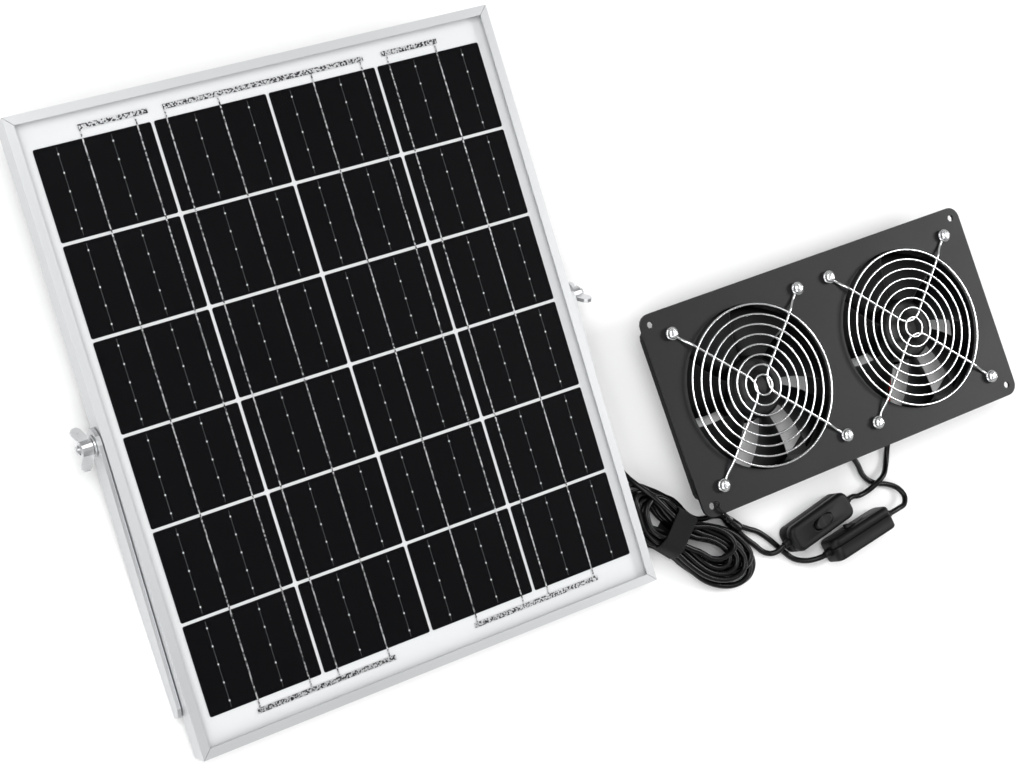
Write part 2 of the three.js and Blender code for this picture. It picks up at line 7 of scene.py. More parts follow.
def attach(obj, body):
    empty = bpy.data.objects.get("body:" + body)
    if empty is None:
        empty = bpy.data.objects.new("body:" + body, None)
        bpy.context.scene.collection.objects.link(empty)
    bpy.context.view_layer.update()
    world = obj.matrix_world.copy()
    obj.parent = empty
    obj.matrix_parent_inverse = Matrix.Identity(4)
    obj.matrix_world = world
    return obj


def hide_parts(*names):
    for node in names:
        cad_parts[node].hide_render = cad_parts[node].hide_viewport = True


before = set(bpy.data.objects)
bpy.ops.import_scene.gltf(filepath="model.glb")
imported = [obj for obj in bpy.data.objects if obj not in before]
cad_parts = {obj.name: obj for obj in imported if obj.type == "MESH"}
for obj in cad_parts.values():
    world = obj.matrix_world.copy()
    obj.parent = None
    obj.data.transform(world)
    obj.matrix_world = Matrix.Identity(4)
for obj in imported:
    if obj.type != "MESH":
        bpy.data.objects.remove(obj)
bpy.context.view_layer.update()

mm = 0.001
layoutCentre = np.array([313.067, 190.793, 0.0])  # layout point that is the frame's origin


def inFrame(points):
    # layout millimetres to frame metres: less the centre, times a thousandth
    return (np.asarray(points, float) - layoutCentre) * mm


def meshPiece(name, points, faces, materials, body="base", smooth=True, replaces=(), slot=None,
              faceMaterial=None):
    mesh = bpy.data.meshes.new(name)
    mesh.from_pydata(np.asarray(points, float).tolist(), [], [tuple(face) for face in faces])
    for material in materials if isinstance(materials, (list, tuple)) else [materials]:
        mesh.materials.append(material)
    mesh.polygons.foreach_set("use_smooth", [smooth] * len(mesh.polygons))
    if faceMaterial is not None:
        mesh.polygons.foreach_set("material_index", np.asarray(faceMaterial, np.int32))
    mesh.update()
    piece = bpy.data.objects.new(name, mesh)
    bpy.context.scene.collection.objects.link(piece)
    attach(piece, body)
    if replaces:
        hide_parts(*replaces)
    return piece


def gridFaces(rows, columns, wrapRows=False, wrapColumns=False, start=0):
    # quads between neighbouring points of a rows by columns grid, the last joined to the first where it wraps
    i = np.arange(rows if wrapRows else rows - 1)
    j = np.arange(columns if wrapColumns else columns - 1)
    a, b = np.meshgrid(i, j, indexing="ij")
    a2, b2 = (a + 1) % rows, (b + 1) % columns
    quads = np.stack([a * columns + b, a * columns + b2, a2 * columns + b2, a2 * columns + b], -1)
    return (quads.reshape(-1, 4) + start).tolist()


class gridSolid:
    # gathers several grids into one mesh
    def __init__(self):
        self.points = []
        self.faces = []
        self.kinds = []
        self.count = 0

    def add(self, grid, wrapRows=False, wrapColumns=False, caps=False, kind=0, flip=False):
        rows, columns = grid.shape[:2]
        faces = gridFaces(rows, columns, wrapRows, wrapColumns, self.count)
        if caps:
            faces.append(list(range(self.count + columns - 1, self.count - 1, -1)))
            last = self.count + (rows - 1) * columns
            faces.append(list(range(last, last + columns)))
        if flip:
            faces = [list(reversed(face)) for face in faces]
        self.points.append(grid.reshape(-1, 3))
        self.faces += faces
        self.kinds += [kind] * len(faces)
        self.count += rows * columns
        return self

    def piece(self, name, materials, **words):
        return meshPiece(name, np.concatenate(self.points), self.faces, materials,
                         faceMaterial=self.kinds, **words)


def around(points, turn, centre=(0, 0, 0)):
    # turns points about a vertical line through centre, by turn degrees
    c, s = math.cos(math.radians(turn)), math.sin(math.radians(turn))
    return points @ np.array([[c, s, 0], [-s, c, 0], [0, 0, 1.0]]) + np.asarray(centre, float)


def lathe(profile, sides, centre=(0, 0, 0)):
    # each profile point (radius, height) swept once round the vertical through centre
    radius, height = np.asarray(profile, float).T
    angle = np.linspace(0, 2 * np.pi, sides, endpoint=False)
    grid = np.stack([np.outer(radius, np.cos(angle)), np.outer(radius, np.sin(angle)),
                     np.repeat(height[:, None], sides, 1)], -1)
    return grid + np.asarray(centre, float)


def smoothPath(points, spacing):
    # centripetal Catmull-Rom curve through the points, resampled at even spacing
    p = np.asarray(points, float)
    p = np.vstack([2 * p[0] - p[1], p, 2 * p[-1] - p[-2]])
    pieces = []
    for k in range(1, len(p) - 2):
        gaps = [max(np.linalg.norm(p[k + m] - p[k + m - 1]), 1e-6) for m in (0, 1, 2)]
        knots = np.cumsum([0] + [gap ** 0.5 for gap in gaps])
        t = np.linspace(knots[1], knots[2], 14, endpoint=False)[:, None]
        a = [((knots[m + 1] - t) * p[k + m - 1] + (t - knots[m]) * p[k + m]) / (knots[m + 1] - knots[m])
             for m in range(3)]
        b = [((knots[m + 2] - t) * a[m] + (t - knots[m]) * a[m + 1]) / (knots[m + 2] - knots[m])
             for m in range(2)]
        pieces.append(((knots[2] - t) * b[0] + (t - knots[1]) * b[1]) / (knots[2] - knots[1]))
    fine = np.vstack(pieces + [p[-2:-1]])
    along = np.concatenate([[0], np.cumsum(np.linalg.norm(np.diff(fine, axis=0), axis=1))])
    even = np.linspace(0, along[-1], max(int(along[-1] / spacing), 2) + 1)
    return np.stack([np.interp(even, along, fine[:, k]) for k in range(3)], 1)


def tube(path, radius, sides=12, closed=False):
    # a circle of given radius carried along the path, square to it, without twisting
    path = np.asarray(path, float)
    ahead = np.roll(path, -1, 0) - np.roll(path, 1, 0)
    if not closed:
        ahead[0], ahead[-1] = path[1] - path[0], path[-1] - path[-2]
    ahead /= np.linalg.norm(ahead, axis=1)[:, None]
    up = np.array([0, 0, 1.0]) if abs(ahead[0, 2]) < 0.8 else np.array([1.0, 0, 0])
    frames = []
    for direction in ahead:
        up = up - direction * (up @ direction)
        up /= np.linalg.norm(up)
        frames.append(up)
    side = np.array(frames)
    other = np.cross(ahead, side)
    angle = np.linspace(0, 2 * np.pi, sides, endpoint=False)
    radius = np.broadcast_to(np.asarray(radius, float), (len(path),))[:, None, None]
    ring = np.cos(angle)[None, :, None] * side[:, None] + np.sin(angle)[None, :, None] * other[:, None]
    return path[:, None] + ring * radius


def roundedLoop(length, width, corner, count):
    # rounded rectangle sampled at even angles of its corners, with the straights between them
    quarter = count // 4
    angle = np.concatenate([np.linspace(0, np.pi / 2, quarter) + k * np.pi / 2 for k in range(4)])
    sx = np.repeat([1, -1, -1, 1], quarter)
    sy = np.repeat([1, 1, -1, -1], quarter)
    x = sx * (length / 2 - corner) + corner * np.cos(angle)
    y = sy * (width / 2 - corner) + corner * np.sin(angle)
    return np.stack([x, y], 1)


def nodeTree(tree, kind, **values):
    node = tree.nodes.new(kind)
    for key, value in values.items():
        setattr(node, key, value)
    return node


def makeSurfaceGroup():
    # colour and roughness drift with a broad noise, and a fine noise gives grain height
    group = bpy.data.node_groups.new("surfaceGrain", "ShaderNodeTree")
    face = group.interface
    for name, kind, value in (
            ("Color", "NodeSocketColor", (0.5, 0.5, 0.5, 1)), ("Variation", "NodeSocketFloat", 0.1),
            ("Broad Scale", "NodeSocketFloat", 20.0), ("Fine Scale", "NodeSocketFloat", 900.0),
            ("Roughness", "NodeSocketFloat", 0.5), ("Roughness Spread", "NodeSocketFloat", 0.1),
            ("Stretch", "NodeSocketVector", (1, 1, 1))):
        socket = face.new_socket(name, in_out="INPUT", socket_type=kind)
        socket.default_value = value
    face.new_socket("Color", in_out="OUTPUT", socket_type="NodeSocketColor")
    face.new_socket("Roughness", in_out="OUTPUT", socket_type="NodeSocketFloat")
    face.new_socket("Height", in_out="OUTPUT", socket_type="NodeSocketFloat")
    link = group.links.new
    enter = nodeTree(group, "NodeGroupInput")
    leave = nodeTree(group, "NodeGroupOutput")
    where = nodeTree(group, "ShaderNodeTexCoord")
    stretch = nodeTree(group, "ShaderNodeVectorMath", operation="MULTIPLY")
    link(where.outputs["Object"], stretch.inputs[0])
    link(enter.outputs["Stretch"], stretch.inputs[1])
    broad = nodeTree(group, "ShaderNodeTexNoise")
    fine = nodeTree(group, "ShaderNodeTexNoise")
    fine.inputs["Detail"].default_value = 4
    for noise, scale in ((broad, "Broad Scale"), (fine, "Fine Scale")):
        link(stretch.outputs[0], noise.inputs["Vector"])
        link(enter.outputs[scale], noise.inputs["Scale"])
    mixed = nodeTree(group, "ShaderNodeMath", operation="MULTIPLY_ADD")  # broad plus half the fine noise
    link(fine.outputs["Fac"], mixed.inputs[0])
    mixed.inputs[1].default_value = 0.5
    link(broad.outputs["Fac"], mixed.inputs[2])
    swing = nodeTree(group, "ShaderNodeMath", operation="SUBTRACT")
    link(mixed.outputs[0], swing.inputs[0])
    swing.inputs[1].default_value = 0.75
    gain = nodeTree(group, "ShaderNodeMath", operation="MULTIPLY_ADD")
    link(swing.outputs[0], gain.inputs[0])
    link(enter.outputs["Variation"], gain.inputs[1])
    gain.inputs[2].default_value = 1.0
    tint = nodeTree(group, "ShaderNodeVectorMath", operation="SCALE")
    link(enter.outputs["Color"], tint.inputs[0])
    link(gain.outputs[0], tint.inputs["Scale"])
    link(tint.outputs[0], leave.inputs["Color"])
    rough = nodeTree(group, "ShaderNodeMath", operation="MULTIPLY_ADD")
    rough.use_clamp = True
    link(swing.outputs[0], rough.inputs[0])
    link(enter.outputs["Roughness Spread"], rough.inputs[1])
    link(enter.outputs["Roughness"], rough.inputs[2])
    link(rough.outputs[0], leave.inputs["Roughness"])
    link(fine.outputs["Fac"], leave.inputs["Height"])
    return group


surfaceGrain = makeSurfaceGroup()


def finishMaterial(name, color, roughness, metallic=0.0, variation=0.15, broad=25.0, fine=900.0, spread=0.15,
                   bump=0.15, depth=0.0002, stretch=(1, 1, 1), **sockets):
    material = bpy.data.materials.new(name)
    material.use_nodes = True
    tree = material.node_tree
    shader = tree.nodes["Principled BSDF"]
    grain = nodeTree(tree, "ShaderNodeGroup", node_tree=surfaceGrain)
    grain.inputs["Color"].default_value = (*color, 1)
    for key, value in (("Variation", variation), ("Broad Scale", broad), ("Fine Scale", fine),
                       ("Roughness", roughness), ("Roughness Spread", spread), ("Stretch", stretch)):
        grain.inputs[key].default_value = value
    tree.links.new(grain.outputs["Color"], shader.inputs["Base Color"])
    tree.links.new(grain.outputs["Roughness"], shader.inputs["Roughness"])
    shader.inputs["Metallic"].default_value = metallic
    relief = nodeTree(tree, "ShaderNodeBump")
    relief.inputs["Strength"].default_value = bump
    relief.inputs["Distance"].default_value = depth
    tree.links.new(grain.outputs["Height"], relief.inputs["Height"])
    tree.links.new(relief.outputs["Normal"], shader.inputs["Normal"])
    for key, value in sockets.items():
        shader.inputs[key.replace("_", " ")].default_value = value
    return material


anodised = finishMaterial("anodisedAluminium", (0.60, 0.61, 0.62), 0.42, metallic=0.75, variation=0.05,
                          broad=8, fine=1500, spread=0.1, bump=0.08)
brushed = finishMaterial("brushedAluminium", (0.58, 0.59, 0.60), 0.36, metallic=0.9, variation=0.1, broad=12,
                         fine=500, bump=0.12, stretch=(1, 0.06, 1))
zinc = finishMaterial("zincSteel", (0.66, 0.67, 0.68), 0.3, metallic=1.0, variation=0.25, broad=90, bump=0.1)
chrome = finishMaterial("brightChrome", (0.86, 0.87, 0.88), 0.09, metallic=1.0, variation=0.08, broad=60,
                        spread=0.05, bump=0.02)
powderCoat = finishMaterial("charcoalPowderCoat", (0.008, 0.008, 0.009), 0.42, variation=0.2,
                            broad=14, fine=1800, spread=0.12, bump=0.35, depth=0.00015,
                            Specular_IOR_Level=0.24)
fanGloss = finishMaterial("fanBlackGloss", (0.003, 0.003, 0.0035), 0.36, variation=0.3, broad=40, fine=1200,
                          bump=0.03, Specular_IOR_Level=0.16)
jacket = finishMaterial("cableJacket", (0.0025, 0.0025, 0.003), 0.25, variation=0.3, broad=70, fine=1600,
                        spread=0.2, bump=0.12, Specular_IOR_Level=0.24)
moulded = finishMaterial("switchPlastic", (0.004, 0.004, 0.0045), 0.45, variation=0.2, broad=60, fine=1400,
                         spread=0.1, bump=0.3, depth=0.0001, Specular_IOR_Level=0.2)
boxPlastic = finishMaterial("junctionPlastic", (0.016, 0.016, 0.017), 0.5, variation=0.2, broad=40, fine=1300,
                            bump=0.3, depth=0.0001)
brass = finishMaterial("turnedBrass", (0.62, 0.45, 0.2), 0.3, metallic=1.0, variation=0.2, broad=80)
winding = finishMaterial("motorWinding", (0.28, 0.1, 0.04), 0.4, metallic=0.5, variation=0.4, broad=200)
redWire = finishMaterial("redWire", (0.42, 0.012, 0.010), 0.35, variation=0.2, broad=120)
backsheetWhite = finishMaterial("backsheetWhite", (0.74, 0.75, 0.76), 0.5, variation=0.03, broad=10,
                                bump=0.05)
cellBlack = finishMaterial("cellBlack", (0.0015, 0.0015, 0.0020), 0.4, variation=0.25, broad=30, fine=700,
                           bump=0.04, Specular_IOR_Level=0.05)
solderWhite = finishMaterial("solderDot", (0.72, 0.73, 0.74), 0.45, metallic=0.2, variation=0.2, broad=300)
fingerGrey = finishMaterial("printedFinger", (0.085, 0.087, 0.09), 0.5, metallic=0.2, variation=0.9,
                            broad=400)


def makeRibbonMaterial():
    # tinned ribbon: bright metal broken up by dark specks of the uneven tin
    material = finishMaterial("tinnedRibbon", (0.62, 0.63, 0.64), 0.32, metallic=0.8, bump=0.5, fine=2500)
    tree = material.node_tree
    shader = tree.nodes["Principled BSDF"]
    where = nodeTree(tree, "ShaderNodeTexCoord")
    speck = nodeTree(tree, "ShaderNodeTexNoise")
    speck.inputs["Scale"].default_value = 800
    speck.inputs["Detail"].default_value = 3
    ramp = nodeTree(tree, "ShaderNodeValToRGB")
    ramp.color_ramp.elements[0].position = 0.44
    ramp.color_ramp.elements[0].color = (0.03, 0.03, 0.035, 1)
    ramp.color_ramp.elements[1].position = 0.54
    ramp.color_ramp.elements[1].color = (0.72, 0.73, 0.74, 1)
    tree.links.new(where.outputs["Object"], speck.inputs["Vector"])
    tree.links.new(speck.outputs["Fac"], ramp.inputs["Fac"])
    tree.links.new(ramp.outputs["Color"], shader.inputs["Base Color"])
    return material


def makeGlassMaterial():
    # almost clear sheet: a thin dark sheen over what lies under it, hazier where a broad noise is high
    material = finishMaterial("clearGlass", (0.012, 0.013, 0.015), 0.08, variation=0.2, broad=9, spread=0.06,
                              bump=0.0)
    material.node_tree.nodes["Principled BSDF"].inputs["Alpha"].default_value = 0.03
    return material


def makeTieMaterial():
    # woven strap: two crossed waves for warp and weft, with a soft nap over them
    material = finishMaterial("wovenTie", (0.005, 0.005, 0.0055), 0.8, variation=0.5, broad=80, fine=1500,
                              Sheen_Weight=0.06, Specular_IOR_Level=0.2)
    tree = material.node_tree
    uv = nodeTree(tree, "ShaderNodeUVMap")
    warp = nodeTree(tree, "ShaderNodeTexWave", bands_direction="X")
    weft = nodeTree(tree, "ShaderNodeTexWave", bands_direction="Y")
    both = nodeTree(tree, "ShaderNodeMath", operation="ADD")
    for wave, slot in ((warp, 0), (weft, 1)):
        wave.inputs["Scale"].default_value = 30
        tree.links.new(uv.outputs["UV"], wave.inputs["Vector"])
        tree.links.new(wave.outputs["Fac"], both.inputs[slot])
    relief = next(node for node in tree.nodes if node.type == "BUMP")
    relief.inputs["Strength"].default_value = 0.6
    tree.links.new(both.outputs[0], relief.inputs["Height"])
    return material


ribbonMetal = makeRibbonMaterial()
clearGlass = makeGlassMaterial()
tieFabric = makeTieMaterial()
print("materials made")

cameraSet = {"place": (-298.6, 168.5, 1150.8), "target": (272.94, 147.99, 0.0),
             "up": (0.28476, 0.95048, 0.12448), "lens": 70.31, "sensor": 36, "farthest": 20}


def makeCamera():
    camera = bpy.data.objects.new("camera", bpy.data.cameras.new("camera"))
    bpy.context.scene.collection.objects.link(camera)
    place = Vector(inFrame(cameraSet["place"]))
    back = (place - Vector(inFrame(cameraSet["target"]))).normalized()
    right = Vector(cameraSet["up"]).cross(back).normalized()
    turn = Matrix((right, back.cross(right), back)).transposed()
    camera.matrix_world = Matrix.Translation(place) @ turn.to_4x4()
    camera.data.lens = cameraSet["lens"]
    camera.data.sensor_width = cameraSet["sensor"]
    camera.data.clip_end = cameraSet["farthest"]
    bpy.context.scene.camera = camera


makeCamera()

cordSet = {"diameter": 3.8, "leadSpacing": 1.2, "trunkSpacing": 1.4,
           "frontInside": ((498, -22.9, 9.6), (484.5, -25, 9.6), (471, -27.1, 9.6)),
           "rearInside": ((470.2, -4.2, 8), (456.5, -7.1, 8), (442.8, -10, 8)),
           "leavingHank": ((336.5, 49.6, 17.3), (332.6, 55.2, 15.8), (330.2, 59.6, 13.3))}
leadLeftOut = [
    [486.6, 66, 12], [491, 63.5, 12], [497, 58.5, 11], [500.3, 51, 8.5], [501, 43, 4.8], [501.8, 35, 2.5],
    [504, 27.5, 2.1], [507.2, 19.5, 2.1], [508.6, 11, 2.1], [512, 5.5, 2.1], [518, 1.4, 2.1],
    [526, -1.8, 2.1], [532.8, -6.8, 2.8], [535, -13, 4.6], [531, -18.2, 7.2], [523, -19.4, 9.2],
    [511.7, -20.7, 9.6]]
leadRightOut = [
    [540.6, 41.4, 12], [538.2, 36.5, 11.5], [536.4, 30, 7.5], [535.2, 23.5, 3.4], [532.4, 16, 2.1],
    [528.2, 10, 3.2], [522.5, 5.6, 5.8], [515.5, 2.4, 6.2], [507, -0.6, 4.6], [498.5, -1.4, 4.8],
    [491, -0.1, 7], [483.9, -1.3, 8]]
leadLeftIn = [
    [457.3, -29.3, 9.6], [450.5, -30.2, 9.2], [441.5, -29.4, 5.4], [433.8, -25.4, 2.6], [427.5, -17.8, 2.1],
    [420.5, -7.5, 2.1], [413, 1, 2.1], [406.3, 5.2, 3], [400.3, 8.9, 4.2]]
leadRightIn = [
    [429.4, -12.9, 8], [425.6, -13.9, 7.5], [422, -15.6, 6.2], [417.3, -16, 3.4], [412.4, -13, 2.1],
    [407.4, -6.4, 2.1], [402.4, -0.3, 2.5], [396.9, 6.5, 4.2]]
trunkToHank = [
    [390.2, 18.3, 4.2], [387.4, 20.6, 3.7], [382.5, 22.2, 3], [376, 22.6, 2.6], [371, 24, 2.4],
    [366.6, 27.2, 2.3], [363.2, 31.8, 2.2], [360.8, 36.8, 2.2], [357.6, 41.6, 2.2], [352.6, 45.8, 2.2],
    [348, 50, 2.2], [343.3, 53.6, 2.2], [337.3, 57.9, 2.1], [330, 60.5, 2.1]]
trunkTail = [
    [328.6, 63.4, 10.5], [327.6, 68, 6.5], [326.8, 74, 3.2], [326.2, 82, 2.1], [326, 95, 2.1],
    [326, 110, 2.1], [326, 140, 2.1], [326, 170, 2.1], [326, 195, 2.1], [324.5, 210, 2.1], [318.5, 222, 2.1],
    [307, 230, 2.1], [288, 233, 2.1], [262, 230, 2.1], [236, 224, 2.1], [214, 221, 2.1],
    [198, 224.5, 2.6], [189, 232.5, 5], [185.6, 241.5, 8.2], [185, 250.4, 10.1]]
# per layer: runs moved aside, right and left folds drawn in, bulge narrowed, and the runs moved inwards,
# right of the tie below and above the middle line, then left of it below and above
hankSet = {"x": 343, "y": 33, "turn": -46.9, "lowest": 2.9, "rise": 3.6, "floor": 2.0, "turns": 13,
           "perTurn": 44, "start": 0.045, "short": 0.13, "changeFrom": 0.84, "lastLane": 0.72, "tieAt": 10,
           "seed": 7, "aside": (1.0, -1.0, 1.4, -1.2, 0.3), "right": (1.01, 0.985, 0.93, 0.84, 0.74),
           "left": (1.0, 1.0, 0.97, 0.9, 0.82), "wide": (1.0, 1.0, 0.98, 0.93, 0.88),
           "inwards": ((0, 0, 0, 0), (0, 0.25, 0.3, 0), (0.5, 0, 0, 0.3), (0, 0.5, 0.3, 0),
                       (0.5, -0.4, 0, 0.2))}
outerTurn = [
    [-29, 0], [-21.2, -7.1], [-12.2, -15.5], [-2, -19], [7, -16.9], [18, -16.8], [30, -18.4], [47, -19.4],
    [60, -17], [71, -11], [77.5, -1], [75.5, 9.5], [65, 14.4], [52, 15.8], [38, 13.2], [22, 8.4], [9, 7.3],
    [-4, 10], [-15, 11], [-25, 7.5]]
innerTurn = [
    [-20.5, -3.5], [-17.5, -9], [-10.5, -12], [-2, -11.6], [7, -9.5], [18, -9.3], [31, -10.4], [42, -11.4],
    [52, -11], [60.5, -7], [63.5, 0], [60.5, 6], [52, 8.6], [42, 7.6], [31, 3.8], [20, 0], [9, -0.5],
    [-3, 2.4], [-11, 4.6], [-18, 2.6]]


def hankToLayout(points):
    return around(np.asarray(points, float), hankSet["turn"], (hankSet["x"], hankSet["y"], 0))


def closedCurve(points, part):
    # uniform Catmull-Rom round a closed loop, at the given parts of one lap
    p = np.asarray(points, float)
    place = (part % 1) * len(p)
    k = np.floor(place).astype(int) % len(p)
    t = (place - np.floor(place))[:, None]
    a, b, c, d = (p[(k + shift) % len(p)] for shift in (-1, 0, 1, 2))
    return b + 0.5 * t * (c - a + t * (2 * a - 5 * b + 4 * c - d + t * (3 * (b - c) + d - a)))


def easing(x):
    x = np.clip(x, 0, 1)
    return x * x * (3 - 2 * x)


def hankTurns():
    # every turn lies between the outer and the inner loop, in its own lane; three lanes fill a layer,
    # the next layer lies on it, and one last narrower turn closes the top
    turns = hankSet["turns"]
    count = np.linspace(hankSet["start"], turns - hankSet["short"], int(turns * hankSet["perTurn"]))
    turn = np.floor(count).astype(int)
    part = count - turn

    def laneOf(k):
        inLayer = k % 3
        lane = np.where((k // 3) % 2 == 0, inLayer, 2 - inLayer) / 2
        return np.where(k >= turns - 1, hankSet["lastLane"], lane)

    def blended(value):
        # a turn's own value, passing to the next turn's over the last part of the lap
        now, later = value(turn), value(np.minimum(turn + 1, turns - 1))
        return now + (later - now) * easing((part - hankSet["changeFrom"]) / (1 - hankSet["changeFrom"]))

    def perLayer(values):
        return blended(lambda k: values[k // 3])

    aside, right, left, wide, inwards = (np.array(hankSet[key], float)
                                         for key in ("aside", "right", "left", "wide", "inwards"))
    drift = np.random.default_rng(hankSet["seed"]).normal(size=(turns + 2, 3))
    drifts = [np.interp(count, np.arange(turns + 2), drift[:, k]) for k in range(3)]
    place = part * len(outerTurn)
    rightBelow = easing((place - 4.5) / 2.5) * (1 - easing((place - 8.5) / 3))
    rightAbove = easing((place - 9.5) / 3) * (1 - easing((place - 13.5) / 2.5))
    leftBelow = easing((place - 0.3) / 2.2) * (1 - easing((place - 2.5) / 2.5))
    leftAbove = easing((place - 15.5) / 2.2) * (1 - easing((place - 17.6) / 2.4))
    lane = blended(laneOf)
    for column, side in enumerate((rightBelow, rightAbove, leftBelow, leftAbove)):
        lane = lane + side * perLayer(inwards[:, column])
    lane = lane[:, None]
    flat = closedCurve(outerTurn, part) * (1 - lane) + closedCurve(innerTurn, part) * lane
    u, v = flat.T
    tieAt = hankSet["tieAt"]
    spread = easing((u - 24) / 26)
    v = v + spread * (perLayer(aside) + 0.5 * drifts[0])
    v = -1.5 * spread + (v + 1.5 * spread) * (1 + (perLayer(wide) - 1) * spread)
    u = tieAt + (u - tieAt) * np.where(u > tieAt, perLayer(right), perLayer(left))
    u = u + 0.7 * easing((u - 34) / 40) * drifts[1]
    underTie = np.exp(-((u - tieAt) / 15) ** 4)
    z = hankSet["lowest"] + hankSet["rise"] * blended(lambda k: k // 3) - 0.8 * (1 - underTie)
    z = z + 0.25 * spread * drifts[2]
    return np.stack([u, v, np.maximum(z, hankSet["floor"])], 1)


def cordCurve(name, path, radius):
    # one poly spline through the path, thickened by the cord's radius
    curve = bpy.data.curves.new(name, "CURVE")
    curve.dimensions = "3D"
    spline = curve.splines.new("POLY")
    spline.points.add(len(path) - 1)
    spline.points.foreach_set("co", np.hstack([path, np.ones((len(path), 1))]).ravel())
    spline.use_smooth = True
    curve.bevel_depth = radius
    curve.bevel_resolution = 4
    curve.use_fill_caps = True
    curve.materials.append(jacket)
    piece = bpy.data.objects.new(name, curve)
    bpy.context.scene.collection.objects.link(piece)
    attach(piece, "base")
    return piece


def pathLength(path):
    return float(np.linalg.norm(np.diff(path, axis=0), axis=1).sum())


def makeCords():
    radius = cordSet["diameter"] / 2 * mm
    made = {}
    for name, *parts in (("lead_left", leadLeftOut, cordSet["frontInside"], leadLeftIn),
                         ("lead_right", leadRightOut, cordSet["rearInside"], leadRightIn)):
        path = inFrame(smoothPath(np.vstack(parts), cordSet["leadSpacing"]))
        made[name] = (cordCurve(name, path, radius), path)
        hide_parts(name + "_out", name + "_in")
    turns = hankToLayout(hankTurns())
    points = np.vstack([trunkToHank, turns, cordSet["leavingHank"], trunkTail])
    path = inFrame(smoothPath(points, cordSet["trunkSpacing"]))
    made["trunk"] = (cordCurve("trunk_cable", path, radius), path)
    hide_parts("trunk_to_hank", "cable_hank", "trunk_tail")
    for name, (piece, path) in made.items():
        print("cord", name, "length", round(pathLength(path), 3))
    return made


cords = makeCords()
print("camera and cords made")

panelSet = {"tilt": 3.0, "rest": 4.0}


def onPanel(points):
    # panel millimetres (across, up the panel, out of its back plane) to the frame: tilted, then raised
    p = np.asarray(points, float)
    c, s = math.cos(math.radians(panelSet["tilt"])), math.sin(math.radians(panelSet["tilt"]))
    x, y, z = p[..., 0], p[..., 1], p[..., 2]
    return inFrame(np.stack([x, y * c - z * s, y * s + z * c + panelSet["rest"]], -1))


cellSet = {"columns": 4, "rows": 6, "left": 11.5, "right": 308.0, "bottom": 20.5, "top": 362.8, "gap": 1.9,
           "low": 12.3, "high": 12.42, "corner": 1.2}
lineSet = {"thin": 0.26, "thick": 0.85, "dot": 1.15, "dots": 5, "high": 12.62}
linePlan = ((("thin", 0.20), ("thick", 0.42), ("thin", 0.65), ("thick", 0.875)),
            (("thick", 0.125), ("thin", 0.355), ("thick", 0.585), ("thin", 0.815)))
stripSet = {"top": 368.6, "bottom": 14.8, "width": 3.0,
            "topRuns": ((42.0, 84.8), (94.5, 227.0), (240.0, 279.3)),
            "bottomRuns": ((40.6, 132.5), (188.5, 279.5))}


def plateGrid(x0, x1, y0, y1, low, high, corner=0.0):
    # a thin plate as two outlines, one above the other
    loop = roundedLoop(x1 - x0, y1 - y0, max(corner, 0.02), 16) + [(x0 + x1) / 2, (y0 + y1) / 2]
    return np.stack([np.hstack([loop, np.full((16, 1), z)]) for z in (low, high)])


def makeCells():
    pitchX = (cellSet["right"] - cellSet["left"]) / cellSet["columns"]
    pitchY = (cellSet["top"] - cellSet["bottom"]) / cellSet["rows"]
    half = cellSet["gap"] / 2
    cells, ribbons, lines = gridSolid(), gridSolid(), gridSolid()
    for column in range(cellSet["columns"]):
        x0 = cellSet["left"] + column * pitchX
        for row in range(cellSet["rows"]):
            y0 = cellSet["bottom"] + row * pitchY
            grid = plateGrid(x0 + half, x0 + pitchX - half, y0 + half, y0 + pitchY - half,
                             cellSet["low"], cellSet["high"], cellSet["corner"])
            cells.add(onPanel(grid), wrapColumns=True, caps=True)
        for kind, part in linePlan[column % 2]:
            x = x0 + part * pitchX
            low, high = cellSet["high"] + 0.02, lineSet["high"]
            if kind == "thick":
                w = lineSet["thick"] / 2
                grid = plateGrid(x - w, x + w, cellSet["bottom"] - 5, cellSet["top"] + 5.5, low, high)
                ribbons.add(onPanel(grid), wrapColumns=True, caps=True)
                continue
            for row in range(cellSet["rows"]):
                y0 = cellSet["bottom"] + row * pitchY + half
                length = pitchY - cellSet["gap"]
                w = lineSet["thin"] / 2
                grid = plateGrid(x - w, x + w, y0 + 1.5, y0 + length - 1.5, low, low + 0.08)
                lines.add(onPanel(grid), wrapColumns=True, caps=True, kind=1)
                for k in range(lineSet["dots"]):
                    y = y0 + length * (k + 0.5) / lineSet["dots"]
                    d = lineSet["dot"] / 2
                    grid = plateGrid(x - d * 0.8, x + d * 0.8, y - d, y + d, low, high, d * 0.78)
                    lines.add(onPanel(grid), wrapColumns=True, caps=True)
    w = stripSet["width"] / 2
    for edge in ("top", "bottom"):
        for x0, x1 in stripSet[edge + "Runs"]:
            y = stripSet[edge]
            grid = plateGrid(x0, x1, y - w, y + w, cellSet["high"] + 0.03, lineSet["high"] + 0.05)
            ribbons.add(onPanel(grid), wrapColumns=True, caps=True)
    cells.piece("solar_cells", cellBlack, smooth=False, replaces=("cell_layer",), slot="solar_cell")
    ribbons.piece("cell_ribbons", ribbonMetal, smooth=False, slot="zinc_steel")
    lines.piece("cell_solder_lines", [solderWhite, fingerGrey], smooth=False, slot="zinc_steel")


makeCells()
print("cells made")

fanSet = {"x": 500.5, "y": 96.2, "turn": 1.07, "pitch": 132.7, "screw": 52.5}
sides = (("left", -fanSet["pitch"] / 2, -30.0, 0.0), ("right", fanSet["pitch"] / 2, -115.0, 90.0))
cornerPlaces = ((-1, 1), (1, 1), (1, -1), (-1, -1))


